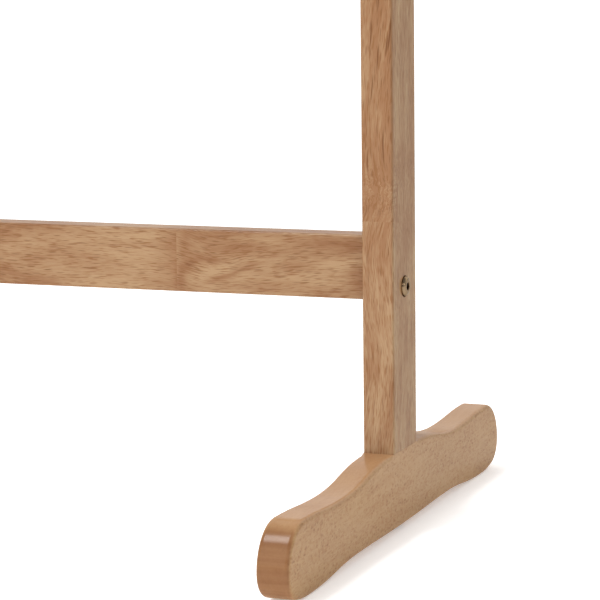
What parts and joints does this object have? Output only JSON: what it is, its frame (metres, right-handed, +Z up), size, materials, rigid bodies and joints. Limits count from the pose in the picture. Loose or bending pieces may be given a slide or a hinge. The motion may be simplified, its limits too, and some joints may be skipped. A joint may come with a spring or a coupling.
{
  "type": "freestanding towel stand",
  "caption": "Freestanding wooden towel stand: two uprights on long wavy feet, wavy arms near the top, round towel rails and a flat low stretcher, joined by socket bolts with domed brass heads.",
  "frame": {"origin": "on the floor, at the centre of the stand's footprint", "axes": "+X along the rails to the right, +Y from front to back, +Z up"},
  "size_m": [0.604, 0.363, 0.86],
  "materials": {
    "varnished_rubberwood": "clear satin varnish over rubberwood, joined lengthwise from short staves",
    "beech_dowel": "bare turned beech",
    "bronzed_brass": "dulled bronze-toned brass plating",
    "zinc_plated_steel": "bright zinc plate"
  },
  "bodies": {
    "root": {"back_rail": "varnished_rubberwood", "front_rail": "varnished_rubberwood", "left_arm": "varnished_rubberwood", "left_back_rail_bolt": "bronzed_brass", "left_back_rail_insert": "zinc_plated_steel", "left_foot": "varnished_rubberwood", "left_foot_bolt": "bronzed_brass", "left_foot_dowel_back": "beech_dowel", "left_foot_dowel_front": "beech_dowel", "left_foot_nut": "zinc_plated_steel", "left_front_rail_bolt": "bronzed_brass", "left_front_rail_insert": "zinc_plated_steel", "left_stretcher_bolt": "bronzed_brass", "left_stretcher_dowel": "beech_dowel", "left_stretcher_nut": "zinc_plated_steel", "left_top_rail_bolt": "bronzed_brass", "left_top_rail_insert": "zinc_plated_steel", "left_upright": "varnished_rubberwood", "lower_stretcher": "varnished_rubberwood", "right_arm": "varnished_rubberwood", "right_back_rail_bolt": "bronzed_brass", "right_back_rail_insert": "zinc_plated_steel", "right_foot": "varnished_rubberwood", "right_foot_bolt": "bronzed_brass", "right_foot_dowel_back": "beech_dowel", "right_foot_dowel_front": "beech_dowel", "right_foot_nut": "zinc_plated_steel", "right_front_rail_bolt": "bronzed_brass", "right_front_rail_insert": "zinc_plated_steel", "right_stretcher_bolt": "bronzed_brass", "right_stretcher_dowel": "beech_dowel", "right_stretcher_nut": "zinc_plated_steel", "right_top_rail_bolt": "bronzed_brass", "right_top_rail_insert": "zinc_plated_steel", "right_upright": "varnished_rubberwood", "top_rail": "varnished_rubberwood"}
  },
  "joints": []
}
